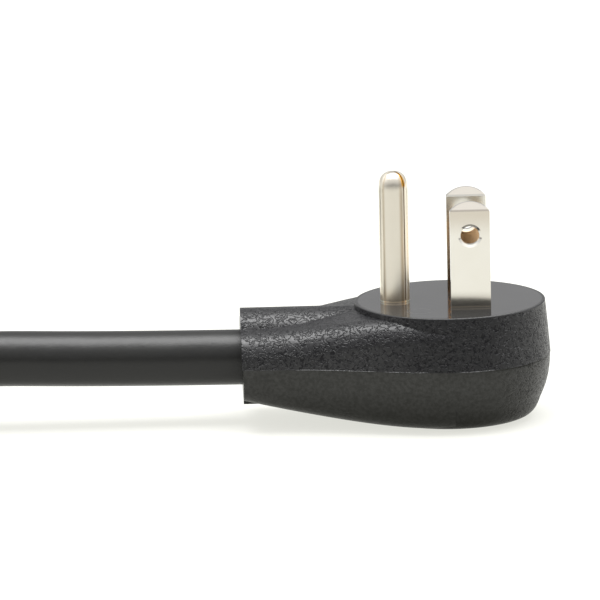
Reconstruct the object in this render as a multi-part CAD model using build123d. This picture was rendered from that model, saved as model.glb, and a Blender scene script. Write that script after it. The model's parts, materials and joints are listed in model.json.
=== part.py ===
from build123d import *
import math
import os

# A two-way power splitter: one flat right-angle plug, a short trunk cord, a moulded yoke
# and two branch cords that end in outlets.
# Millimetres. The plug lies on its belly with its prongs up, its cord leaves towards -X,
# and the origin is under the middle of the plug, on the surface that it lies on.

# Plug housing, measured along the cord and from the parting line of its mould
plug_length = 49.8
head_radius = 16.05
face_radius = 15.3
face_edge_radius = 0.15
seam_height = 10.6
face_rise = 8.65
parting_step = 0.1
belly_corner_radius = 3.8
neck_half_width = 10.5
neck_spread = 1.25
neck_top_rise = 5.5
neck_top_crown = 0.7
shoulder_climb = 1.22
shoulder_top_rise = 8.45
shoulder_inset = 0.1
neck_bottom_drop = 5.75
neck_bottom_crown = 0.4
neck_wall_lean = 0.5
neck_parting_step = 0.15
belly_spread = 0.93
belly_crown = 0.9
neck_low_corner = 3.4
neck_top_corner = 4.6
head_top_corner = 3.0
wall_lean = 0.35
belly_wall_lean = 1.5
belly_wall_drop = 7.0
belly_wall_fullness = 0.45
belly_wall_heading = (-0.36, -1.0)
belly_edge_inset = 4.2
belly_clearance = 0.05
belly_edge_rise = 0.55
belly_edge_heading = (-1.0, -0.16)
lower_half_setback = 0.2
hump_radius = 5.4
hump_top_rise = 8.05
hump_run_under_face = 3.0
entry_pad_length = 4.6
entry_pad_half_width = 5.5
entry_pad_step = 0.75

# Prong insert, the hard inner moulding that holds the prongs
insert_rim = 0.5
insert_flange = 1.8
insert_depth = 4.5
insert_half_width = 9.4
insert_margin = 1.5

# Prongs, as the 15 A three-pin standard has them
blade_width = 6.35
blade_thickness = 1.52
blade_spacing = 12.7
blade_length = 17.15
blade_tip_sagitta = 1.5
blade_tip_edge = 0.6
blade_hole_radius = 1.5
blade_hole_rise = 11.7
blade_dimple_radius = 1.9
blade_dimple_depth = 0.3
blade_from_face_centre = 3.1
pin_to_blades = 11.89
pin_radius = 2.375
pin_root_radius = 2.0
pin_seat = 0.1
pin_wall = 0.7
pin_length = 21.2
pin_tip_length = 2.97
pin_tip_wall = 0.4
pin_slit = 0.18
pin_slit_angle = -46.0
pin_slit_inner_edge = 0.3
pin_slit_start = 0.4

# Cord: three insulated cores in a round jacket
cord_diameter = 8.9
core_radius = 1.45
copper_radius = 0.95
core_circle = 1.95
wire_bend_radius = 4.0
barrel_radius = 1.95
barrel_length = 5.0
blade_barrel_overhang = 1.5
pin_barrel_overhang = 1.2
pin_barrel_bore = 4.0

# Yoke
yoke_width = 25.0
yoke_height = 13.0
yoke_corner = 5.0
yoke_boot_start = -147.0
yoke_body_start = -167.0
yoke_full_width_at = -190.0
yoke_flank_radius = 24.0
yoke_end = -213.0
yoke_core_level = 3.75
yoke_ground_offset = -0.8
branch_spacing = 12.0
trunk_end_in_yoke = -175.0
branch_end_in_yoke = -204.0
splice_start = -183.5
splice_length = 7.0
splice_width = 5.7
splice_height = 3.1
splice_corner = 1.4
splice_wire_offset = 1.69

# Outlets, measured back from the face that the prongs go into
outlet_width = 27.0
outlet_height = 25.0
outlet_corner = 8.0
outlet_body_length = 36.0
outlet_boot_length = 20.0
outlet_shoulder = 10.0
outlet_neck_width = 13.0
outlet_neck_corner = 6.4
outlet_edge = 0.8
face_block_width = 21.5
face_block_height = 22.4
face_block_corner = 4.0
face_block_depth = 16.0
face_block_recess = 0.4
face_skin = 3.0
blade_row_rise = 4.3
slot_width = 2.2
line_slot_height = 7.1
neutral_slot_height = 8.5
ground_hole_radius = 2.8
contact_cell_width = 3.6
contact_cell_height = 7.0
leaf_thickness = 0.6
leaf_gap = 1.4
leaf_height = 6.2
leaf_length = 11.5
contact_plate = 0.8
blade_plate_half_width = 2.6
blade_plate_half_height = 3.7
ground_plate_half_width = 3.6
ground_plate_drop = 3.3
ground_plate_rise = 3.6
ground_sleeve_wall = 0.5
ground_sleeve_grip = 0.3
ground_sleeve_slot = 0.8
ground_sleeve_slot_start = 1.5
ground_cell_radius = 3.3
contact_barrel_bore = 4.5
cord_end_in_outlet = 34.0
grip_grooves = 4
grip_groove_pitch = 3.4
grip_groove_width = 1.4
grip_groove_depth = 0.7
grip_groove_start = 4.0
grip_groove_end_gap = 6.0

# Tapered boots on the yoke and the outlets
boot_wall_thin = 1.0
boot_wall_thick = 2.0
boot_grooves = 4
boot_groove_width = 1.3
boot_groove_depth = 0.6
boot_collar = 3.0
boot_last_rib = 1.0
boot_root = 1.0

# How far a cutter reaches past what it cuts, and the share of a run that a bend may take
cut_over = 1.0
cord_corner_share = 0.45
wire_lead_share = 0.22
wire_corner_share = 0.85

# Routes of the cords, from the plug outwards
trunk_route = [
    (-9.0, 0.0, 10.6),
    (-38.0, 0.0, 10.6),
    (-80.0, 0.0, 12.0),
    (-112.0, 0.8, 3.8),
    (-134.0, 0.0, 6.5),
    (-175.0, 0.0, 6.5),
]
branch_a_route = [
    (-204.0, 6.0, 6.5),
    (-228.8, 6.0, 6.5),
    (-246.4, 23.6, 5.0),
    (-246.4, 48.5, 4.7),
    (-228.8, 66.1, 6.0),
    (-191.0, 66.5, 9.2),
    (-150.0, 66.0, 12.5),
    (-109.0, 66.0, 12.5),
]
branch_b_route = [
    (-204.0, -6.0, 6.5),
    (-229.0, -6.0, 6.5),
    (-252.9, 11.5, 5.0),
    (-262.1, 39.7, 4.7),
    (-252.9, 67.8, 6.9),
    (-229.0, 85.2, 10.6),
    (-196.5, 85.5, 12.5),
    (-158.0, 85.5, 12.5),
]
outlet_a_face = -75.0
outlet_b_face = -124.0
outlet_a_side = 66.0
outlet_b_side = 85.5

# Places that follow from the sizes above
cord_radius = cord_diameter / 2
face_height = seam_height + face_rise
face_x = plug_length / 2 - head_radius
cord_end_x = -plug_length / 2
blade_x = face_x + blade_from_face_centre
pin_x = blade_x - pin_to_blades
neck_reach = face_x - cord_end_x
insert_radius = face_radius - insert_rim
insert_bottom = face_height - insert_depth
core_angles = {"ground": 90.0, "line": 210.0, "neutral": 330.0}
yoke_core_angles = {"line": 60.0, "ground": 180.0, "neutral": 300.0}
yoke_core_levels = {"line": yoke_core_level, "ground": 0.0, "neutral": -yoke_core_level}
pole_side = {"line": -1, "neutral": 1, "ground": 0}


def rise(share):
    """Smooth rise from 0 at the cord's end of the neck to 1 under the face's centre."""
    return math.sin(math.pi / 2 * share ** neck_spread) ** 2


def blend(start, end, share):
    return start + (end - start) * share


def box_between(low, high):
    size = [b - a for a, b in zip(low, high)]
    middle = [(a + b) / 2 for a, b in zip(low, high)]
    return Pos(*middle) * Box(*size)


def rod(x0, x1, y, z, radius):
    """A cylinder along X."""
    return Plane(origin=(x0, y, z), z_dir=(1, 0, 0)) * extrude(Circle(radius), x1 - x0)


def across(x):
    """The plane across the object at x, with Y to its right and Z up."""
    return Plane(origin=(x, 0, 0), x_dir=(0, 1, 0), z_dir=(1, 0, 0))


def rounded_plate(x, y, z, width, height, corner):
    return across(x) * Pos(y, z) * RectangleRounded(width, height, corner)


def one(shape):
    """The single solid of a shape."""
    solids = shape.solids()
    if len(solids) != 1:
        raise ValueError(f"{len(solids)} solids where one is meant")
    return solids[0]


def swept(points, radii, radius):
    path = FilletPolyline(*points, radius=radii)
    start = path.position_at(0)
    heading = path.tangent_at(0)
    return one(sweep(Plane(origin=start, z_dir=heading) * Circle(radius), path=path))


def corner_radii(points):
    """The largest arcs that a cord's runs allow, one for each corner of its route."""
    corners = [Vector(*p) for p in points]
    radii = []
    for before, here, after in zip(corners, corners[1:], corners[2:]):
        turn = math.radians((here - before).get_angle(after - here))
        shorter = min((here - before).length, (after - here).length)
        radii.append(cord_corner_share * shorter / math.tan(turn / 2))
    return radii


def cord(points):
    return swept(points, corner_radii(points), cord_radius)


def core_place(y, z, angle):
    """Where a core leaves a cord whose middle is at y, z."""
    turn = math.radians(angle)
    return y + core_circle * math.cos(turn), z + core_circle * math.sin(turn)


def wire(start, end, tip):
    """An insulated core from start to end, both heading along X, and its bared copper tip."""
    way = 1 if end[0] > start[0] else -1
    lead = wire_lead_share * abs(end[0] - start[0])
    bends = [
        start,
        (start[0] + way * lead, start[1], start[2]),
        (end[0] - way * lead, end[1], end[2]),
        end,
    ]
    sideways = math.hypot(end[1] - start[1], end[2] - start[2])
    turn = math.atan2(sideways, abs(end[0] - start[0]) - 2 * lead)
    if sideways > 0.01:
        radius = min(wire_bend_radius, wire_corner_share * lead / math.tan(turn / 2))
        insulation = swept(bends, [radius, radius], core_radius)
    else:
        insulation = rod(min(start[0], end[0]), max(start[0], end[0]), end[1], end[2], core_radius)
    low, high = sorted((end[0], end[0] + way * tip))
    return one(insulation + rod(low, high, end[1], end[2], copper_radius))


def head_form():
    """The round head: a flat face, a slightly full wall and a nearly flat, rounded belly."""
    edge = face_edge_radius
    corner = edge * (1 - math.sin(math.pi / 4))
    face_end = (face_radius - edge, face_height)
    edge_middle = (face_radius - corner, face_height - corner)
    rim = (face_radius, face_height - edge)
    seam = (head_radius, seam_height)
    low_radius = head_radius - parting_step
    low_seam = (low_radius, seam_height)
    low_middle = (low_radius - belly_wall_fullness, seam_height - 0.6 * belly_wall_drop)
    low_wall = (low_radius - belly_wall_lean, seam_height - belly_wall_drop)
    belly_edge = (head_radius - belly_edge_inset, belly_edge_rise)
    with BuildSketch(Plane.XZ) as half:
        with BuildLine():
            Line((0, 0), (0, face_height))
            Line((0, face_height), face_end)
            ThreePointArc(face_end, edge_middle, rim)
            ThreePointArc(rim, (head_radius - wall_lean, seam_height + face_rise / 2), seam)
            Line(seam, low_seam)
            ThreePointArc(low_seam, low_middle, low_wall)
            Spline(low_wall, belly_edge, tangents=[belly_wall_heading, belly_edge_heading])
            Spline(belly_edge, (0, 0), tangents=[belly_edge_heading, (-1, 0)])
        make_face()
    return revolve(half.sketch, Axis.Z)


def neck_section(x, half, lean, reach, crown, corner):
    """Half of the neck across x: from the parting line to a crowned edge at reach, corners rounded."""
    edge = reach - math.copysign(crown, reach)
    with BuildSketch(Plane.XY) as section:
        with BuildLine():
            Polyline((lean - half, seam_height + edge), (-half, seam_height), (half, seam_height),
                     (half - lean, seam_height + edge))
            ThreePointArc(
                (half - lean, seam_height + edge),
                (0, seam_height + reach),
                (lean - half, seam_height + edge),
            )
        make_face()
        fillet(section.vertices().filter_by(lambda v: abs(v.Y - seam_height) > 0.1), corner)
    return across(x) * section.sketch


def neck_lower():
    """The neck below the parting line: it widens and deepens from the cord to the belly."""
    sections = []
    for share in (0.0, 0.2, 0.4, 0.6, 0.8, 1.0):
        x = blend(cord_end_x + lower_half_setback, face_x, share)
        half = blend(neck_half_width, head_radius, rise(share)) - neck_parting_step
        deepening = math.sin(math.pi / 2 * share ** belly_spread)
        drop = blend(neck_bottom_drop, seam_height - belly_clearance, deepening)
        lean = blend(neck_wall_lean, belly_wall_lean, share)
        crown = blend(neck_bottom_crown, belly_crown, share)
        corner = blend(neck_low_corner, belly_corner_radius, share)
        sections.append(neck_section(x, half, lean, -drop, crown, corner))
    return loft(sections)


def neck_upper():
    """The two shoulders, which rise from beside the cord to just under the face."""
    sections = []
    for share in (0.0, 0.16, 0.32, 0.48, 0.64, 0.82, 1.0):
        x = blend(cord_end_x, face_x, share)
        half = blend(neck_half_width, head_radius - shoulder_inset, rise(share))
        climb = math.sin(math.pi / 2 * min(1.0, shoulder_climb * share)) ** 2
        top = blend(neck_top_rise, shoulder_top_rise, climb)
        crown = neck_top_crown * min(1.0, 0.2 + 3 * share)
        corner = blend(neck_top_corner, head_top_corner, share ** 2)
        sections.append(neck_section(x, half, wall_lean, top, crown, corner))
    return loft(sections)


def neck_hump():
    """The raised rib over the cord, which the shoulders swallow at the face."""
    centre = seam_height + hump_top_rise - hump_radius
    arch = Pos(0, centre) * Circle(hump_radius)
    arch += Pos(0, (seam_height + centre) / 2) * Rectangle(2 * hump_radius, centre - seam_height)
    arch -= Pos(0, seam_height - hump_radius) * Rectangle(4 * hump_radius, 2 * hump_radius)
    return extrude(across(cord_end_x) * arch, neck_reach - face_radius + hump_run_under_face)


def entry_pad():
    """The flat step under the cord's entry."""
    bottom = seam_height - neck_bottom_drop - entry_pad_step
    return box_between(
        (cord_end_x + lower_half_setback, -entry_pad_half_width, bottom),
        (cord_end_x + lower_half_setback + entry_pad_length, entry_pad_half_width, seam_height),
    )


def prong_insert_form():
    """A round flange flush in the housing's face, on a straight-sided block."""
    flange = Pos(face_x, 0, face_height - insert_flange / 2) * Cylinder(insert_radius, insert_flange)
    block = box_between(
        (pin_x - pin_radius - insert_margin, -insert_half_width, insert_bottom),
        (blade_x + blade_width / 2 + insert_margin, insert_half_width, face_height - insert_flange),
    )
    return one(flange + block)


def blade(side):
    """A flat prong with a rounded, thinned tip and a hole, on a crimp barrel under the insert."""
    y = side * blade_spacing / 2
    barrel_z = seam_height + core_circle * math.sin(math.radians(core_angles["line"]))
    tip = face_height + blade_length
    shoulder = tip - blade_tip_sagitta
    half = blade_width / 2
    with BuildSketch(Plane.XZ) as outline:
        with BuildLine():
            Polyline((-half, shoulder), (-half, barrel_z), (half, barrel_z), (half, shoulder))
            ThreePointArc((half, shoulder), (0, tip), (-half, shoulder))
        make_face()
    plate = extrude(outline.sketch, blade_thickness / 2, both=True)
    bevel_run = (blade_thickness - blade_tip_edge) / 2
    for way in (-1, 1):
        wedge = Polyline(
            (way * blade_thickness / 2, shoulder),
            (way * (blade_thickness / 2 - bevel_run), tip),
            (way * blade_thickness, tip + cut_over),
            (way * blade_thickness, shoulder),
            close=True,
        )
        plate -= extrude(across(-half - cut_over) * make_face(wedge), blade_width + 2 * cut_over)
    hole_z = face_height + blade_hole_rise
    bore = Plane(origin=(0, -blade_thickness, hole_z), z_dir=(0, 1, 0))
    plate -= extrude(bore * Circle(blade_hole_radius), 2 * blade_thickness)
    for way in (-1, 1):
        rim = Plane(origin=(0, way * blade_thickness / 2, hole_z), z_dir=(0, -way, 0))
        cone = loft([
            rim * Circle(blade_dimple_radius),
            rim.offset(blade_dimple_depth) * Circle(blade_hole_radius),
        ])
        plate -= cone
    plate = Pos(blade_x, y, 0) * plate
    mouth = blade_x - half - blade_barrel_overhang
    barrel = rod(mouth, blade_x + half, y, barrel_z, barrel_radius)
    return one(plate + barrel - rod(mouth, mouth + barrel_length, y, barrel_z, copper_radius))


def ground_pin_form():
    """A round prong rolled from sheet: hollow, slit down one side, bullet-tipped, its root necked."""
    inner = pin_radius - pin_wall
    barrel_z = seam_height + core_circle
    tip = face_height + pin_length
    shoulder = tip - pin_tip_length
    with BuildSketch(Plane.XZ) as half:
        with BuildLine():
            Polyline(
                (0, tip),
                (0, barrel_z),
                (pin_root_radius, barrel_z),
                (pin_root_radius, face_height - pin_seat),
                (pin_radius, face_height - pin_seat),
                (pin_radius, shoulder),
            )
            Spline((pin_radius, shoulder), (0, tip), tangents=[(0, 1), (-1, 0)])
        make_face()
    pin = revolve(half.sketch, Axis.Z)
    hollow_top = shoulder - pin_tip_wall
    pin -= Pos(0, 0, (face_height + hollow_top) / 2) * Cylinder(inner, hollow_top - face_height)
    slit = box_between(
        (pin_slit_inner_edge, -pin_slit / 2, face_height + pin_slit_start),
        (pin_radius + cut_over, pin_slit / 2, tip + cut_over),
    )
    pin -= Rot(0, 0, pin_slit_angle) * slit
    pin = Pos(pin_x, 0, 0) * pin
    mouth = pin_x - pin_radius - pin_barrel_overhang
    pin += rod(mouth, pin_x + pin_radius, 0, barrel_z, barrel_radius)
    return one(pin - rod(mouth, mouth + pin_barrel_bore, 0, barrel_z, copper_radius))


def plug_parts():
    """The plug's pieces. The housing is moulded round the others, so it is cut to their shapes."""
    pieces = {"line_blade": blade(-1), "neutral_blade": blade(1), "ground_pin": ground_pin_form()}
    insert = prong_insert_form()
    for prong in pieces.values():
        insert -= prong
    insert = one(insert)
    pieces["prong_insert"] = insert
    core_start = trunk_route[0][0]
    for pole in core_angles:
        y, z = core_place(0, seam_height, core_angles[pole])
        if pole == "ground":
            end = (pin_x - pin_radius - pin_barrel_overhang, 0, z)
            tip = pin_barrel_bore
        else:
            mouth = blade_x - blade_width / 2 - blade_barrel_overhang
            end = (mouth, pole_side[pole] * blade_spacing / 2, z)
            tip = barrel_length
        pieces[f"plug_{pole}_wire"] = wire((core_start, y, z), end, tip)
    body = Pos(face_x, 0, 0) * head_form()
    body = one(body + neck_lower() + neck_upper() + neck_hump() + entry_pad())
    body -= rod(cord_end_x, core_start, 0, seam_height, cord_radius)
    body -= prong_insert_form()
    for name, piece in pieces.items():
        if name != "prong_insert":
            body -= piece
    pieces["plug_housing"] = max(body.solids(), key=lambda s: s.volume)
    return pieces


def boot(thin_x, thick_x, y, z):
    """A tapered strain relief round a cord, with grooves that let it bend."""
    way = 1 if thick_x > thin_x else -1
    length = abs(thick_x - thin_x)
    start = Plane(origin=(thin_x, y, z), z_dir=(way, 0, 0))
    cone = loft([
        start * Circle(cord_radius + boot_wall_thin),
        start.offset(length) * Circle(cord_radius + boot_wall_thick),
    ])
    pitch = (length - boot_collar - boot_last_rib) / boot_grooves
    for k in range(boot_grooves):
        at = boot_collar + k * pitch
        wall = blend(boot_wall_thin, boot_wall_thick, at / length)
        outer = start.offset(at) * Circle(cord_radius + wall + cut_over)
        inner = start.offset(at) * Circle(cord_radius + wall - boot_groove_depth)
        cone -= extrude(outer - inner, boot_groove_width)
    return cone


def yoke_form():
    """The yoke's outline from above, drawn out to its thickness, with all its edges rounded."""
    half = yoke_width / 2
    stem = yoke_height / 2
    z = yoke_height / 2
    outline = make_face(Polyline(
        (yoke_body_start, -stem),
        (yoke_body_start, stem),
        (yoke_full_width_at, half),
        (yoke_end, half),
        (yoke_end, -half),
        (yoke_full_width_at, -half),
        close=True,
    ))
    flanks = outline.vertices().filter_by(lambda v: abs(v.X - yoke_full_width_at) < 0.01)
    body = extrude(fillet(flanks, yoke_flank_radius), yoke_height)
    sides = body.edges().filter_by(Axis.Z)
    body = fillet(sides.filter_by(lambda e: abs(e.center().X - yoke_end) < 0.01), yoke_corner)
    rims = body.edges().filter_by(lambda e: abs(e.center().X - yoke_body_start) > 0.01)
    body = fillet(rims.filter_by(lambda e: abs(abs(e.center().Z - z) - z) < 0.01), yoke_corner)
    return body + boot(yoke_boot_start, yoke_body_start - boot_root, 0, z)


def yoke_parts():
    """The yoke, moulded round three crimped splices that join each trunk core to two branches."""
    middle = yoke_height / 2
    splice_end = splice_start - splice_length
    tip = splice_length / 3
    pieces = {}
    for pole, level in yoke_core_levels.items():
        y = yoke_ground_offset if pole == "ground" else 0.0
        z = middle + level
        sleeve = extrude(
            rounded_plate(splice_end, y, z, splice_width, splice_height, splice_corner), splice_length
        )
        core = core_place(0, middle, yoke_core_angles[pole])
        lead = wire((trunk_end_in_yoke, *core), (splice_start, y, z), tip)
        pieces[f"yoke_{pole}_wire"] = lead
        sleeve -= lead
        for side, way in (("a", 1), ("b", -1)):
            core = core_place(way * branch_spacing / 2, middle, yoke_core_angles[pole])
            beside = y + way * splice_wire_offset
            lead = wire((branch_end_in_yoke, *core), (splice_end, beside, z), tip)
            pieces[f"branch_{side}_{pole}_wire"] = lead
            sleeve -= lead
        pieces[f"{pole}_splice"] = one(sleeve)
    body = yoke_form()
    body -= rod(trunk_end_in_yoke, yoke_boot_start, 0, middle, cord_radius)
    for way in (-1, 1):
        body -= rod(yoke_end, branch_end_in_yoke, way * branch_spacing / 2, middle, cord_radius)
    for piece in pieces.values():
        body -= piece
    pieces["yoke_housing"] = max(body.solids(), key=lambda s: s.volume)
    return pieces


def contact(pole, face, y, z):
    """A spring contact seated on the back of the face block, with a crimp barrel behind it."""
    back = face - face_block_recess - face_block_depth
    barrel_end = back - contact_plate - barrel_length
    if pole == "ground":
        clip = box_between(
            (back - contact_plate, y - ground_plate_half_width, z - ground_plate_drop),
            (back, y + ground_plate_half_width, z + ground_plate_rise),
        )
        bore = ground_hole_radius - ground_sleeve_grip
        sleeve = rod(back, back + leaf_length, y, z, bore + ground_sleeve_wall)
        sleeve -= rod(back, back + leaf_length, y, z, bore)
        sleeve -= box_between(
            (back + ground_sleeve_slot_start, y - ground_sleeve_slot / 2, z),
            (back + leaf_length, y + ground_sleeve_slot / 2, z + bore + ground_sleeve_wall + cut_over),
        )
        clip += sleeve
    else:
        clip = box_between(
            (back - contact_plate, y - blade_plate_half_width, z - blade_plate_half_height),
            (back, y + blade_plate_half_width, z + blade_plate_half_height),
        )
        for way in (-1, 1):
            inner = y + way * leaf_gap / 2
            outer = inner + way * leaf_thickness
            low, high = sorted((inner, outer))
            clip += box_between(
                (back, low, z - leaf_height / 2), (back + leaf_length, high, z + leaf_height / 2)
            )
    clip += rod(barrel_end, back - contact_plate, y, z, barrel_radius)
    return one(clip - rod(barrel_end, barrel_end + contact_barrel_bore, y, z, copper_radius))


def outlet_parts(side, face, y):
    """One outlet: an outer moulding, the hard face block and three contacts with their cores."""
    z = outlet_height / 2
    block_front = face - face_block_recess
    back = block_front - face_block_depth
    envelope = extrude(
        rounded_plate(back, y, z, face_block_width, face_block_height, face_block_corner),
        face_block_depth,
    )
    block = envelope
    row = z + blade_row_rise
    places = {
        "line": (y - blade_spacing / 2, row),
        "neutral": (y + blade_spacing / 2, row),
        "ground": (y, row - pin_to_blades),
    }
    slots = {"line": line_slot_height, "neutral": neutral_slot_height}
    for pole, (py, pz) in places.items():
        if pole == "ground":
            block -= rod(back, block_front, py, pz, ground_hole_radius)
            block -= rod(back, block_front - face_skin, py, pz, ground_cell_radius)
        else:
            half = slots[pole] / 2
            block -= box_between(
                (back, py - slot_width / 2, pz - half), (block_front, py + slot_width / 2, pz + half)
            )
            block -= box_between(
                (back, py - contact_cell_width / 2, pz - contact_cell_height / 2),
                (block_front - face_skin, py + contact_cell_width / 2, pz + contact_cell_height / 2),
            )
    pieces = {}
    cord_end = face - cord_end_in_outlet
    wire_end = back - contact_plate - barrel_length
    for pole, (py, pz) in places.items():
        pieces[f"outlet_{side}_{pole}_contact"] = contact(pole, face, py, pz)
        core = core_place(y, z, -core_angles[pole])
        pieces[f"outlet_{side}_{pole}_wire"] = wire(
            (cord_end, *core), (wire_end, py, pz), contact_barrel_bore
        )
    body_start = face - outlet_body_length
    body = loft([
        rounded_plate(body_start, y, z, outlet_neck_width, outlet_neck_width, outlet_neck_corner),
        rounded_plate(body_start + outlet_shoulder, y, z, outlet_width, outlet_height, outlet_corner),
    ], ruled=True)
    straight = rounded_plate(
        body_start + outlet_shoulder, y, z, outlet_width, outlet_height, outlet_corner
    )
    body += extrude(straight, outlet_body_length - outlet_shoulder)
    rim = body.faces().sort_by(Axis.X)[-1].edges()
    body = chamfer(rim, outlet_edge)
    for k in range(grip_grooves):
        at = body_start + outlet_shoulder + grip_groove_start + k * grip_groove_pitch
        for way in (-1, 1):
            outer = y + way * (outlet_width / 2 + cut_over)
            inner = y + way * (outlet_width / 2 - grip_groove_depth)
            low, high = sorted((outer, inner))
            body -= box_between(
                (at, low, z - outlet_height / 2 + grip_groove_end_gap),
                (at + grip_groove_width, high, z + outlet_height / 2 - grip_groove_end_gap),
            )
    body += boot(body_start - outlet_boot_length, body_start + boot_root, y, z)
    body -= rod(body_start - outlet_boot_length, cord_end, y, z, cord_radius)
    body -= envelope
    body -= extrude(
        rounded_plate(block_front, y, z, face_block_width, face_block_height, face_block_corner),
        face_block_recess + cut_over,
    )
    for piece in pieces.values():
        body -= piece
    pieces[f"outlet_{side}_face_block"] = one(block)
    pieces[f"outlet_{side}_housing"] = max(body.solids(), key=lambda s: s.volume)
    return pieces


def main():
    pieces = plug_parts()
    pieces["trunk_cord"] = cord(trunk_route)
    pieces.update(yoke_parts())
    pieces["branch_a_cord"] = cord(branch_a_route)
    pieces["branch_b_cord"] = cord(branch_b_route)
    pieces.update(outlet_parts("a", outlet_a_face, outlet_a_side))
    pieces.update(outlet_parts("b", outlet_b_face, outlet_b_side))
    for name, route in (
        ("trunk", trunk_route),
        ("branch a", branch_a_route),
        ("branch b", branch_b_route),
    ):
        radii = [round(r, 1) for r in corner_radii(route)]
        length = FilletPolyline(*route, radius=corner_radii(route)).length
        print(f"{name} cord: {length:.1f} long, bend radii {radii}")
    os.makedirs("parts", exist_ok=True)
    for name, piece in pieces.items():
        piece.label = name
        export_step(piece, f"parts/{name}.step")
        print(f"{name}: {piece.volume:.1f} cubic millimetres, valid {piece.is_valid}")


main()
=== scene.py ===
import json
import math

import bpy
from mathutils import Matrix, Vector


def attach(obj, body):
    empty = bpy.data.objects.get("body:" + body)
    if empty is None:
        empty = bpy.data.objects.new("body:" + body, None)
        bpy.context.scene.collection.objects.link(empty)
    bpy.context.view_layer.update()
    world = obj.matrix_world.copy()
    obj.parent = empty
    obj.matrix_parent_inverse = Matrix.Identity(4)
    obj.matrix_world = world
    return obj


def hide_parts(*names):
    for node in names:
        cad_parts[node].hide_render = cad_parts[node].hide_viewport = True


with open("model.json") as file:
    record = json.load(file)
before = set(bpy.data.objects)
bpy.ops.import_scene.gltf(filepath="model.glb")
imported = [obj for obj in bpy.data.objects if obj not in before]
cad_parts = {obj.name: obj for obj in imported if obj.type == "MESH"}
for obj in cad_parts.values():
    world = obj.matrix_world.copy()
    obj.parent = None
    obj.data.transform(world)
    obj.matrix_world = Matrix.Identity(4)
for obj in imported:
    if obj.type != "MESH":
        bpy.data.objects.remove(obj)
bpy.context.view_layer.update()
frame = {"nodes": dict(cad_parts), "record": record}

# Sizes and places in metres, as in the part
CORD_DIAMETER = 0.0089
SEAM_Z = 0.0106
FACE_Z = 0.01925
FACE_X = 0.00885
BLADE_INNER_FACE_Y = 0.0056
BLADE_BEVEL_Z = 0.0352
PIN_X = 0.00006
PIN_TIP_Z = 0.04045
PIN_SLIT_ANGLE = math.radians(-46)
EJECTOR_PLACE = (0.0037, -0.0085)
EJECTOR_RADIUS = 0.0019

# The cords' centre lines, with the points of the part's source
TRUNK_ROUTE = [
    (-0.009, 0.0, 0.0106),
    (-0.038, 0.0, 0.0106),
    (-0.080, 0.0, 0.012),
    (-0.112, 0.0008, 0.0038),
    (-0.134, 0.0, 0.0065),
    (-0.175, 0.0, 0.0065),
]
BRANCH_A_ROUTE = [
    (-0.204, 0.006, 0.0065),
    (-0.2288, 0.006, 0.0065),
    (-0.2464, 0.0236, 0.005),
    (-0.2464, 0.0485, 0.0047),
    (-0.2288, 0.0661, 0.006),
    (-0.191, 0.0665, 0.0092),
    (-0.150, 0.066, 0.0125),
    (-0.109, 0.066, 0.0125),
]
BRANCH_B_ROUTE = [
    (-0.204, -0.006, 0.0065),
    (-0.229, -0.006, 0.0065),
    (-0.2529, 0.0115, 0.005),
    (-0.2621, 0.0397, 0.0047),
    (-0.2529, 0.0678, 0.0069),
    (-0.229, 0.0852, 0.0106),
    (-0.1965, 0.0855, 0.0125),
    (-0.158, 0.0855, 0.0125),
]
# How finely the cords are drawn, round them and along them
BEVEL_STEPS = 12
CURVE_STEPS = 20

# The photograph's camera: the plug's face centre lies at this pixel of the 600 by 600 frame
FRAME_PX = 600
FACE_PIXEL = (449.8, 299.1)
PX_PER_MM = 6.226
CAMERA_DISTANCE = 1.15
CAMERA_ELEVATION = math.radians(11.94)
CAMERA_YAW = math.radians(1.24)
CAMERA_ROLL = math.radians(1.25)
CAMERA_FAR_CLIP = 20
SENSOR_MM = 36.0

# The vinyl's grain. Noise scales are in cells per metre, bump heights in metres.
GRAIN_SCALE = 1550
GRAIN_STRETCH = (0.75, 0.75, 1.0)
GRAIN_DISTORTION = 0.7
NOISE_MIDDLE = 0.5
WRINKLE_REACH = 0.085
FINE_GRAIN_SCALE = 3000
FINE_GRAIN_SHARE = 0.2
GRAIN_DEPTH = 0.00005
FAR_GRAIN_STRENGTH = 0.9
LOWER_GRAIN_STRENGTH = 0.2
# Where the grain changes from plain to full across the seam, and from the head to the nose
SEAM_CHANGE_Z = (SEAM_Z - 0.0001, SEAM_Z + 0.0002)
NOSE_X = (0.012, 0.024)
NOSE_GRAIN_GAIN = 2.5
# The smooth ring of vinyl round the face
RING_Z = (FACE_Z - 0.0003, FACE_Z - 0.0001)
RING_SHINE = 0.55
# The thin flash along the seam, and the noise levels between which it comes and goes
FLASH_HALF_WIDTH = 0.00016
FLASH_HEIGHT = 0.00012
FLASH_BREAK_SCALE = 130
FLASH_BREAKS = (0.4, 0.56)

# The vinyl's colours, each from the darkest to the lightest, and its shine
UPPER_BLACK = ((0.0045, 0.0045, 0.0055), (0.007, 0.007, 0.008))
# The olive of the lower black is a painted reflection of the warm floor below.
LOWER_FLOOR_REFLECTION_BLACK = ((0.005, 0.005, 0.003), (0.008, 0.008, 0.006))
VINYL_TONE_SCALE = 90
VINYL_ROUGHNESS = 0.33
FAR_VINYL_SHINE = 0.38
PLUG_VINYL_SHINE = 0.4
# On the plug the shine rises from the bottom to this height
SHINE_RISE_Z = (0.0, 0.008)
SHINE_RANGE = (0.1, 0.44)
# It is lower on the side of the head, and in a thin shade under the seam at the nose
DULL_SIDE_X = 0.0085
DULL_SIDE_HALF_WIDTHS = (0.004, 0.014)
DULL_SIDE_LOSS = 0.12
SHADE_Z = SEAM_Z - 0.0001
SHADE_HALF_HEIGHTS = (0.00005, 0.0002)
SHADE_X = (0.012, 0.02)
SHADE_LOSS = 0.3
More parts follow.
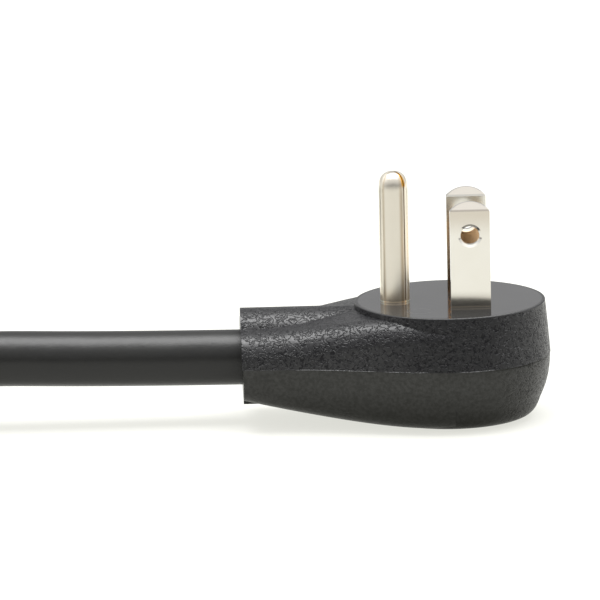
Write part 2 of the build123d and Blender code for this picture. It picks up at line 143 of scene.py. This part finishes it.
# It is mottled, and lower in the wrinkles: between these shares of the way up to the domes
MOTTLE_SCALE = 1700
MOTTLE_LEVELS = (0.35, 0.65)
MOTTLE_RANGE = (0.82, 1.18)
WRINKLE_EDGES = (0.1, 0.75)
WRINKLE_LOSS = 0.6

# The prong insert's and the outlets' hard plastic
INSERT_BLACK = ((0.009, 0.009, 0.010), (0.014, 0.014, 0.015))
INSERT_TONE_SCALE = 160
INSERT_SPECK_SCALE = 900
INSERT_ROUGHNESS = (0.06, 0.14)
FLOW_SCALE = 180
FLOW_DEPTH = 0.00003
FLOW_STRENGTH = 0.5
EJECTOR_MARK_WIDTH = 0.00018
EJECTOR_MARK_DEPTH = 0.00003
EJECTOR_MARK_STRENGTH = 0.6

# The cords' jacket
JACKET_BLACK = ((0.003, 0.003, 0.003), (0.006, 0.006, 0.005))
JACKET_TONE_SCALE = 60
JACKET_UNEVEN_SCALE = 130
JACKET_FINE_SCALE = 1500
JACKET_FINE_SHARE = 0.2
JACKET_DEPTH = 0.00016
JACKET_STRENGTH = 0.8
JACKET_ROUGHNESS = (0.3, 0.42)
JACKET_SHINE = 0.39

# The prongs' plating: painted shade darkening the foot where it mirrors the dark face, and a
# painted highlight line where it meets the face
BLADE_NICKEL = ((0.635, 0.61, 0.553), (0.7, 0.683, 0.636))
BLADE_ROUGHNESS = 0.15
BLADE_FOOT_SHADE_TINT = (0.62, 0.6, 0.56)
PIN_NICKEL = ((0.6, 0.555, 0.48), (0.66, 0.625, 0.55))
PIN_ROUGHNESS = 0.3
PIN_FOOT_SHADE_TINT = (0.86, 0.8, 0.72)
FOOT_SHADE_Z = (FACE_Z + 0.0004, FACE_Z + 0.003)
BASE_HIGHLIGHT_Z = FACE_Z + 0.00018
BASE_HIGHLIGHT_HALF_HEIGHTS = (0.00006, 0.00018)
BASE_HIGHLIGHT_TINT = (1.9, 1.8, 1.7)
DRAWN_LINE_SCALE = 3000
DRAWN_LINE_STRETCH = (1.0, 1.0, 0.04)
DRAWN_LINE_DEPTH = 0.000004
DRAWN_LINE_STRENGTH = 0.5
CLOUD_SCALE = 200
ROUGHNESS_SPREAD = 0.03
# The blades: a painted dark reflection near their tips, a painted highlight on their bevels, and
# painted warm light on the faces between them
BLADE_TIP_REFLECTION_Z = (BLADE_BEVEL_Z - 0.005, BLADE_BEVEL_Z - 0.0006)
BLADE_TIP_REFLECTION_TINT = (0.8, 0.76, 0.72)
BEVEL_HIGHLIGHT_Z = (BLADE_BEVEL_Z - 0.0001, BLADE_BEVEL_Z + 0.0001)
BEVEL_HIGHLIGHT_COLOUR = (0.86, 0.81, 0.73)
BETWEEN_BLADES_Y = (BLADE_INNER_FACE_Y, BLADE_INNER_FACE_Y + 0.0003)
BETWEEN_BLADES_TOP_Z = (BLADE_BEVEL_Z - 0.0055, BLADE_BEVEL_Z - 0.0025)
BETWEEN_BLADES_LIGHT_TINT = (1.26, 1.07, 0.88)
# The pin, by the angle round it in radians: its front, the painted highlights on its flanks and
# its slit
PIN_FRONT_ANGLE = -math.pi / 2
FLANK_HIGHLIGHT_ANGLES = (0.75, 1.0)
FLANK_HIGHLIGHT_TINT = (1.45, 1.45, 1.42)
SLIT_HALF_ANGLES = (0.02, 0.07)
SLIT_BRASS = 0.7
TIP_SLIT_HALF_ANGLES = (0.12, 0.2)
TIP_SLIT_Z = (PIN_TIP_Z - 0.0027, PIN_TIP_Z - 0.002)
BRASS = (0.62, 0.32, 0.06)
# Marks that rolling left on the pin: the angle of each and half its width
PIN_ROLL_MARKS = [(math.radians(-134), 0.16), (math.radians(-60), 0.22)]
ROLL_MARK_TINT = (0.8, 0.74, 0.66)

# The hidden pieces' finish
PLAIN_TONE_SCALE = 400
PLAIN_SHADE = 0.85

# The studio
FLOOR_REACH = 6.0
FLOOR_GREY = (0.2, 0.2, 0.195)
FLOOR_ROUGHNESS = 0.9
FLOOR_GLOW = (1, 1, 0.93)
FLOOR_GLOW_STRENGTH = 0.7
OVERHEAD_HEIGHT = 1.1
OVERHEAD_SIZE = (1.3, 0.7)
OVERHEAD_POWER = 22
# Grey of the studio from the horizon behind the camera, over the top, to the far horizon
STUDIO_SKY = [
    (0.0, 0.25),
    (0.08, 0.28),
    (0.12, 1.0),
    (0.25, 1.0),
    (0.36, 1.7),
    (0.64, 1.7),
    (0.7, 0.95),
    (0.8, 0.63),
    (1.0, 0.59),
]

# The colour sockets of a Mix node
MIX_FIRST = 6
MIX_SECOND = 7
MIX_RESULT = 2


def add_camera():
    """The camera that took the photograph, fitted to the blades, the pin and the round face."""
    yaw, tilt, roll = CAMERA_YAW, CAMERA_ELEVATION, CAMERA_ROLL
    right = Vector((math.cos(yaw), -math.sin(yaw), 0))
    level = Vector((math.sin(yaw), math.cos(yaw), 0))
    forward = level * math.cos(tilt) - Vector((0, 0, 1)) * math.sin(tilt)
    up = level * math.sin(tilt) + Vector((0, 0, 1)) * math.cos(tilt)
    right, up = (
        right * math.cos(roll) - up * math.sin(roll),
        right * math.sin(roll) + up * math.cos(roll),
    )
    metres_per_px = 0.001 / PX_PER_MM
    aside = (FACE_PIXEL[0] - FRAME_PX / 2) * metres_per_px
    above = (FRAME_PX / 2 - FACE_PIXEL[1]) * metres_per_px
    target = Vector((FACE_X, 0, FACE_Z))
    place = target - forward * CAMERA_DISTANCE - right * aside - up * above
    data = bpy.data.cameras.new("camera")
    data.sensor_width = SENSOR_MM
    data.lens = SENSOR_MM * PX_PER_MM * CAMERA_DISTANCE * 1000 / FRAME_PX
    data.clip_end = CAMERA_FAR_CLIP
    camera = bpy.data.objects.new("camera", data)
    camera.matrix_world = Matrix.Translation(place) @ Matrix(
        (right, up, -forward)
    ).transposed().to_4x4()
    bpy.context.scene.collection.objects.link(camera)
    bpy.context.scene.camera = camera


def cord_curve(name, route):
    """A round cord along the route. Its radius is on the points, so that its box is true."""
    data = bpy.data.curves.new(name, "CURVE")
    data.dimensions = "3D"
    data.bevel_depth = 1.0
    data.bevel_resolution = BEVEL_STEPS
    data.use_fill_caps = True
    data.resolution_u = CURVE_STEPS
    spline = data.splines.new("NURBS")
    spline.points.add(len(route) - 1)
    for point, place in zip(spline.points, route):
        point.co = (*place, 1)
        point.radius = CORD_DIAMETER / 2
    spline.order_u = 3
    spline.use_endpoint_u = True
    curve = bpy.data.objects.new(name, data)
    bpy.context.scene.collection.objects.link(curve)
    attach(curve, "root")
    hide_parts(f"{name}_cord")
    return curve


def new_material(name):
    """A new material, its node tree and its shader."""
    material = bpy.data.materials.new(name)
    material.use_nodes = True
    return material, material.node_tree, material.node_tree.nodes["Principled BSDF"]


def put(tree, socket, value):
    """Links a node's output to the socket, or sets a number or a colour on it."""
    if isinstance(value, bpy.types.NodeSocket):
        tree.links.new(value, socket)
    elif isinstance(value, tuple):
        socket.default_value = (*value, 1)
    else:
        socket.default_value = value


def surface_point(tree):
    """The surface point in the part's frame, in metres."""
    return tree.nodes.new("ShaderNodeTexCoord").outputs["Object"]


def coordinates(tree, vector):
    """The x, y and z of a vector."""
    split = tree.nodes.new("ShaderNodeSeparateXYZ")
    tree.links.new(vector, split.inputs[0])
    return split.outputs


def stretched(tree, vector, factors):
    """The vector with each coordinate times its own factor."""
    node = tree.nodes.new("ShaderNodeVectorMath")
    node.operation = "MULTIPLY"
    node.inputs[1].default_value = factors
    tree.links.new(vector, node.inputs[0])
    return node.outputs[0]


def maths(tree, operation, *values):
    """The result of one operation on numbers or nodes' outputs."""
    node = tree.nodes.new("ShaderNodeMath")
    node.operation = operation
    for socket, value in zip(node.inputs, values):
        put(tree, socket, value)
    return node.outputs[0]


def product(tree, first, *others):
    """All the values multiplied."""
    for other in others:
        first = maths(tree, "MULTIPLY", first, other)
    return first


def inverse(tree, value):
    """1 minus the value."""
    return maths(tree, "SUBTRACT", 1.0, value)


def distance_from(tree, value, centre):
    """How far the value is from the centre, on either side."""
    return maths(tree, "ABSOLUTE", maths(tree, "SUBTRACT", value, centre))


def step_up(tree, value, low, high):
    """0 below low, 1 above high, smooth between."""
    ramp = tree.nodes.new("ShaderNodeMapRange")
    ramp.interpolation_type = "SMOOTHSTEP"
    ramp.inputs["From Min"].default_value = low
    ramp.inputs["From Max"].default_value = high
    tree.links.new(value, ramp.inputs["Value"])
    return ramp.outputs["Result"]


def stripe(tree, value, centre, inner, outer):
    """1 within inner of the centre, 0 beyond outer."""
    return inverse(tree, step_up(tree, distance_from(tree, value, centre), inner, outer))


def mapped(tree, value, target, source=(0.0, 1.0)):
    """The value, with the source range spread evenly over the target range."""
    ramp = tree.nodes.new("ShaderNodeMapRange")
    ramp.inputs["From Min"].default_value, ramp.inputs["From Max"].default_value = source
    ramp.inputs["To Min"].default_value, ramp.inputs["To Max"].default_value = target
    tree.links.new(value, ramp.inputs["Value"])
    return ramp.outputs["Result"]


def noise(tree, where, scale, detail=2.0, rough=0.5, distort=0.0):
    """Soft noise between 0 and 1, with the scale in cells per metre."""
    node = tree.nodes.new("ShaderNodeTexNoise")
    node.inputs["Scale"].default_value = scale
    node.inputs["Detail"].default_value = detail
    node.inputs["Roughness"].default_value = rough
    node.inputs["Distortion"].default_value = distort
    tree.links.new(where, node.inputs["Vector"])
    return node.outputs["Fac"]


def mixed(tree, amount, first, second, blend="MIX"):
    """The first colour where the amount is 0, blended with the second where it is 1."""
    mix = tree.nodes.new("ShaderNodeMix")
    mix.data_type = "RGBA"
    mix.blend_type = blend
    tree.links.new(amount, mix.inputs["Factor"])
    put(tree, mix.inputs[MIX_FIRST], first)
    put(tree, mix.inputs[MIX_SECOND], second)
    return mix.outputs[MIX_RESULT]


def tinted(tree, colour, amount, tint):
    """The colour times the tint, by the amount."""
    return mixed(tree, amount, colour, tint, "MULTIPLY")


def bump(tree, height, distance, strength=1.0, over=None):
    """A surface raised by the height times the distance, on top of an earlier bump if given."""
    node = tree.nodes.new("ShaderNodeBump")
    node.inputs["Distance"].default_value = distance
    put(tree, node.inputs["Strength"], strength)
    tree.links.new(height, node.inputs["Height"])
    if over is not None:
        tree.links.new(over, node.inputs["Normal"])
    return node.outputs["Normal"]


def grain_domes(tree, where):
    """1 on the smooth domes of the grain, 0 in the middle of the wrinkles between them."""
    # The wrinkles are where a soft noise crosses its middle, a little longer than they are high
    longer = stretched(tree, where, GRAIN_STRETCH)
    soft = noise(tree, longer, GRAIN_SCALE, detail=1.0, distort=GRAIN_DISTORTION)
    return step_up(tree, distance_from(tree, soft, NOISE_MIDDLE), 0.0, WRINKLE_REACH)


def grain_height(tree, where, domes):
    """The domes with a little fine unevenness."""
    fine = noise(tree, where, FINE_GRAIN_SCALE, rough=0.6)
    return maths(tree, "ADD", domes, product(tree, fine, FINE_GRAIN_SHARE))


def vinyl_colour(tree, where, above):
    """Bluish black above the seam, olive black below it as a painted reflection of the warm
    floor, each a little uneven.
    """
    tone = noise(tree, where, VINYL_TONE_SCALE, detail=3, rough=0.6)
    upper = mixed(tree, tone, *UPPER_BLACK)
    # Olive black below the seam: a painted reflection of the warm floor.
    lower = mixed(tree, tone, *LOWER_FLOOR_REFLECTION_BLACK)
    return mixed(tree, above, lower, upper)


def far_vinyl(name):
    """Soft black vinyl with an even leather-like grain, for the yoke and the outlets."""
    material, tree, shader = new_material(name)
    where = surface_point(tree)
    above = step_up(tree, coordinates(tree, where)["Z"], *SEAM_CHANGE_Z)
    height = grain_height(tree, where, grain_domes(tree, where))
    grain = bump(tree, height, GRAIN_DEPTH, FAR_GRAIN_STRENGTH)
    tree.links.new(grain, shader.inputs["Normal"])
    tree.links.new(vinyl_colour(tree, where, above), shader.inputs["Base Color"])
    shader.inputs["Roughness"].default_value = VINYL_ROUGHNESS
    shader.inputs["Specular IOR Level"].default_value = FAR_VINYL_SHINE
    return material


def plug_shine(tree, where, domes, grained, above, ring):
    """Lower near the bottom, on the head's side, under the seam at the nose and in wrinkles."""
    x, _, z = coordinates(tree, where)
    level = mapped(tree, z, SHINE_RANGE, source=SHINE_RISE_Z)
    side = stripe(tree, x, DULL_SIDE_X, *DULL_SIDE_HALF_WIDTHS)
    level = maths(tree, "SUBTRACT", level, product(tree, side, above, DULL_SIDE_LOSS))
    shade = stripe(tree, z, SHADE_Z, *SHADE_HALF_HEIGHTS)
    shade = product(tree, shade, step_up(tree, x, *SHADE_X), SHADE_LOSS)
    level = maths(tree, "SUBTRACT", level, shade)
    speckle = noise(tree, where, MOTTLE_SCALE, rough=0.6)
    mottle = mapped(tree, speckle, MOTTLE_RANGE, source=MOTTLE_LEVELS)
    wrinkle = inverse(tree, step_up(tree, domes, *WRINKLE_EDGES))
    wrinkle = product(tree, wrinkle, WRINKLE_LOSS, grained)
    level = product(tree, level, mottle, inverse(tree, wrinkle))
    return maths(tree, "MAXIMUM", level, product(tree, ring, RING_SHINE))


def plug_vinyl(name):
    """The same vinyl on the plug: full grain above the seam and at the nose, plainer below."""
    material, tree, shader = new_material(name)
    where = surface_point(tree)
    x, _, z = coordinates(tree, where)
    above = step_up(tree, z, *SEAM_CHANGE_Z)
    nose = step_up(tree, x, *NOSE_X)
    ring = step_up(tree, z, *RING_Z)
    grained = maths(tree, "MAXIMUM", above, nose)
    domes = grain_domes(tree, where)

    deeper = maths(tree, "ADD", 1.0, product(tree, nose, NOSE_GRAIN_GAIN))
    height = product(tree, grain_height(tree, where, domes), deeper)
    strength = maths(tree, "MAXIMUM", grained, LOWER_GRAIN_STRENGTH)
    strength = product(tree, strength, inverse(tree, ring))
    grain = bump(tree, height, GRAIN_DEPTH, strength)
    there = step_up(tree, noise(tree, where, FLASH_BREAK_SCALE, detail=1.0), *FLASH_BREAKS)
    flash = product(tree, stripe(tree, z, SEAM_Z, 0.0, FLASH_HALF_WIDTH), there)
    seam = bump(tree, flash, FLASH_HEIGHT, over=grain)

    tree.links.new(seam, shader.inputs["Normal"])
    tree.links.new(vinyl_colour(tree, where, above), shader.inputs["Base Color"])
    shader.inputs["Roughness"].default_value = VINYL_ROUGHNESS
    shader.inputs["Specular IOR Level"].default_value = PLUG_VINYL_SHINE
    shine = plug_shine(tree, where, domes, grained, above, ring)
    tree.links.new(shine, shader.inputs["Specular IOR Level"])
    return material


def smooth_plastic(name):
    """Smooth, shiny black moulded plastic with faint flow marks and one round ejector mark."""
    material, tree, shader = new_material(name)
    where = surface_point(tree)
    tone = noise(tree, where, INSERT_TONE_SCALE, detail=4, rough=0.6)
    tree.links.new(mixed(tree, tone, *INSERT_BLACK), shader.inputs["Base Color"])
    flow = bump(tree, noise(tree, where, FLOW_SCALE), FLOW_DEPTH, FLOW_STRENGTH)
    x, y, _ = coordinates(tree, where)
    across = maths(tree, "SUBTRACT", x, EJECTOR_PLACE[0])
    along = maths(tree, "SUBTRACT", y, EJECTOR_PLACE[1])
    squares = maths(tree, "ADD", product(tree, across, across), product(tree, along, along))
    off_ring = distance_from(tree, maths(tree, "SQRT", squares), EJECTOR_RADIUS)
    mark = step_up(tree, off_ring, 0.0, EJECTOR_MARK_WIDTH)
    mark = bump(tree, mark, EJECTOR_MARK_DEPTH, EJECTOR_MARK_STRENGTH, over=flow)
    tree.links.new(mark, shader.inputs["Normal"])
    speck = noise(tree, where, INSERT_SPECK_SCALE, detail=3, rough=0.6)
    tree.links.new(mapped(tree, speck, INSERT_ROUGHNESS), shader.inputs["Roughness"])
    return material


def cord_jacket(name):
    """Smooth black vinyl, slightly uneven, with a finer unevenness in its shine."""
    material, tree, shader = new_material(name)
    where = surface_point(tree)
    tone = noise(tree, where, JACKET_TONE_SCALE, detail=3)
    tree.links.new(mixed(tree, tone, *JACKET_BLACK), shader.inputs["Base Color"])
    uneven = noise(tree, where, JACKET_UNEVEN_SCALE)
    fine = noise(tree, where, JACKET_FINE_SCALE, detail=3, rough=0.6)
    height = maths(tree, "ADD", uneven, product(tree, fine, JACKET_FINE_SHARE))
    tree.links.new(bump(tree, height, JACKET_DEPTH, JACKET_STRENGTH), shader.inputs["Normal"])
    tree.links.new(mapped(tree, fine, JACKET_ROUGHNESS), shader.inputs["Roughness"])
    shader.inputs["Specular IOR Level"].default_value = JACKET_SHINE
    return material


def nickel(name, colours, roughness, foot_shade_tint, details):
    """Nickel plating over brass: drawn lines, a soft shine, painted shade at the foot, a painted
    highlight line at its base and its own details.
    """
    material, tree, shader = new_material(name)
    where = surface_point(tree)
    z = coordinates(tree, where)["Z"]
    drawn = noise(tree, stretched(tree, where, DRAWN_LINE_STRETCH), DRAWN_LINE_SCALE, rough=0.6)
    cloud = noise(tree, where, CLOUD_SCALE, detail=3, rough=0.6)
    plating = mixed(tree, cloud, *colours)
    # Painted shade: the foot is darkened where it mirrors the dark face.
    plating = tinted(tree, plating, inverse(tree, step_up(tree, z, *FOOT_SHADE_Z)), foot_shade_tint)
    # Painted highlight: a bright line where the prong meets the face.
    base_highlight = stripe(tree, z, BASE_HIGHLIGHT_Z, *BASE_HIGHLIGHT_HALF_HEIGHTS)
    plating = tinted(tree, plating, base_highlight, BASE_HIGHLIGHT_TINT)
    plating = details(tree, plating, where)
    tree.links.new(plating, shader.inputs["Base Color"])
    shader.inputs["Metallic"].default_value = 1.0
    spread = mapped(tree, cloud, (roughness - ROUGHNESS_SPREAD, roughness + ROUGHNESS_SPREAD))
    tree.links.new(spread, shader.inputs["Roughness"])
    lines = bump(tree, drawn, DRAWN_LINE_DEPTH, DRAWN_LINE_STRENGTH)
    tree.links.new(lines, shader.inputs["Normal"])
    return material


def blade_details(tree, plating, where):
    """A painted dark reflection near the tip outside, a painted highlight on the bevel, and
    painted warm light low down between the blades.
    """
    _, y, z = coordinates(tree, where)
    inside = stripe(tree, y, 0.0, *BETWEEN_BLADES_Y)
    # Painted dark reflection on the outer faces near the tip.
    upper = product(tree, step_up(tree, z, *BLADE_TIP_REFLECTION_Z), inverse(tree, inside))
    plating = tinted(tree, plating, upper, BLADE_TIP_REFLECTION_TINT)
    # Painted highlight on the bevel.
    plating = mixed(tree, step_up(tree, z, *BEVEL_HIGHLIGHT_Z), plating, BEVEL_HIGHLIGHT_COLOUR)
    # Painted warm light low down on the faces between the blades.
    low = inverse(tree, step_up(tree, z, *BETWEEN_BLADES_TOP_Z))
    return tinted(tree, plating, product(tree, inside, low), BETWEEN_BLADES_LIGHT_TINT)


def pin_details(tree, plating, where):
    """Painted highlights on the flanks, the marks of rolling, and brass in the open slit."""
    x, y, z = coordinates(tree, where)
    turn = maths(tree, "ARCTAN2", y, maths(tree, "SUBTRACT", x, PIN_X))
    # Painted highlights on the pin's flanks.
    flank_highlight = step_up(tree, distance_from(tree, turn, PIN_FRONT_ANGLE), *FLANK_HIGHLIGHT_ANGLES)
    plating = tinted(tree, plating, flank_highlight, FLANK_HIGHLIGHT_TINT)
    for angle, half_width in PIN_ROLL_MARKS:
        mark = stripe(tree, turn, angle, 0.0, half_width)
        plating = tinted(tree, plating, mark, ROLL_MARK_TINT)
    slit = stripe(tree, turn, PIN_SLIT_ANGLE, *SLIT_HALF_ANGLES)
    at_tip = stripe(tree, turn, PIN_SLIT_ANGLE, *TIP_SLIT_HALF_ANGLES)
    at_tip = product(tree, at_tip, step_up(tree, z, *TIP_SLIT_Z))
    bare = maths(tree, "MAXIMUM", at_tip, product(tree, slit, SLIT_BRASS))
    return mixed(tree, bare, plating, BRASS)


def plain(name, colour, roughness, metallic=0.0):
    """A hidden piece's finish: one colour with a faint unevenness."""
    material, tree, shader = new_material(name)
    tone = noise(tree, surface_point(tree), PLAIN_TONE_SCALE, detail=3, rough=0.6)
    shade = tuple(PLAIN_SHADE * c for c in colour)
    tree.links.new(mixed(tree, tone, shade, colour), shader.inputs["Base Color"])
    shader.inputs["Roughness"].default_value = roughness
    shader.inputs["Metallic"].default_value = metallic
    return material


def paint(obj, material):
    """Gives the whole object one material."""
    obj.data.materials.clear()
    obj.data.materials.append(material)
    if obj.type == "MESH":
        for face in obj.data.polygons:
            face.material_index = 0


def paint_cad_nodes(materials):
    """Each CAD node's material goes by its slot, except the far housings and the pin."""
    slots = {s["node"]: s["material_slot"] for s in frame["record"]["subparts"]}
    for name, obj in frame["nodes"].items():
        key = slots[name]
        if key == "housing" and name != "plug_housing":
            key = "far_housing"
        if name == "ground_pin":
            key = "pin"
        paint(obj, materials[key])


def add_floor():
    """A pale floor that glows a little, so that it shows white with a faint contact shadow."""
    mesh = bpy.data.meshes.new("floor")
    reach = FLOOR_REACH
    corners = [(-reach, -reach, 0), (reach, -reach, 0), (reach, reach, 0), (-reach, reach, 0)]
    mesh.from_pydata(corners, [], [(0, 1, 2, 3)])
    floor = bpy.data.objects.new("floor", mesh)
    bpy.context.scene.collection.objects.link(floor)
    material, tree, shader = new_material("floor")
    put(tree, shader.inputs["Base Color"], FLOOR_GREY)
    put(tree, shader.inputs["Emission Color"], FLOOR_GLOW)
    shader.inputs["Emission Strength"].default_value = FLOOR_GLOW_STRENGTH
    shader.inputs["Roughness"].default_value = FLOOR_ROUGHNESS
    floor.data.materials.append(material)


def add_sky():
    """A studio of greys, by the angle about the x axis from the camera's side over the top."""
    world = bpy.data.worlds.new("studio")
    world.use_nodes = True
    tree = world.node_tree
    direction = tree.nodes.new("ShaderNodeTexCoord").outputs["Generated"]
    _, y, z = coordinates(tree, direction)
    turn = maths(tree, "ARCTAN2", z, product(tree, y, -1.0))
    ramp = tree.nodes.new("ShaderNodeValToRGB")
    tree.links.new(maths(tree, "DIVIDE", turn, math.pi), ramp.inputs["Fac"])
    elements = ramp.color_ramp.elements
    for share, _ in STUDIO_SKY[1:-1]:
        elements.new(share)
    for element, (share, grey) in zip(elements, STUDIO_SKY):
        element.position = share
        element.color = (grey, grey, grey, 1)
    background = tree.nodes["Background"]
    tree.links.new(ramp.outputs["Color"], background.inputs["Color"])
    background.inputs["Strength"].default_value = 1.0
    bpy.context.scene.world = world


def add_overhead():
    """One wide, soft light above the part. It needs no turn, since a light faces down."""
    data = bpy.data.lights.new("overhead", "AREA")
    data.shape = "RECTANGLE"
    data.size, data.size_y = OVERHEAD_SIZE
    data.energy = OVERHEAD_POWER
    light = bpy.data.objects.new("overhead", data)
    light.location = (0, 0, OVERHEAD_HEIGHT)
    bpy.context.scene.collection.objects.link(light)


add_camera()
trunk = cord_curve("trunk", TRUNK_ROUTE)
branch_a = cord_curve("branch_a", BRANCH_A_ROUTE)
branch_b = cord_curve("branch_b", BRANCH_B_ROUTE)

materials = {
    "housing": plug_vinyl("plug_vinyl"),
    "far_housing": far_vinyl("vinyl"),
    "insert": smooth_plastic("insert_plastic"),
    "prong": nickel(
        "blade_nickel", BLADE_NICKEL, BLADE_ROUGHNESS, BLADE_FOOT_SHADE_TINT, blade_details
    ),
    "pin": nickel("pin_nickel", PIN_NICKEL, PIN_ROUGHNESS, PIN_FOOT_SHADE_TINT, pin_details),
    "jacket": cord_jacket("jacket"),
    "line_core": plain("line_insulation", (0.02, 0.02, 0.02), 0.4),
    "neutral_core": plain("neutral_insulation", (0.75, 0.74, 0.7), 0.4),
    "ground_core": plain("ground_insulation", (0.03, 0.25, 0.07), 0.4),
    "contact": plain("spring_brass", (0.7, 0.5, 0.22), 0.3, 1.0),
    "splice": plain("crimp_copper", (0.7, 0.42, 0.25), 0.35, 1.0),
}
paint_cad_nodes(materials)
for curve in (trunk, branch_a, branch_b):
    paint(curve, materials["jacket"])
add_floor()
add_sky()
add_overhead()
bpy.context.scene.view_settings.view_transform = "Standard"
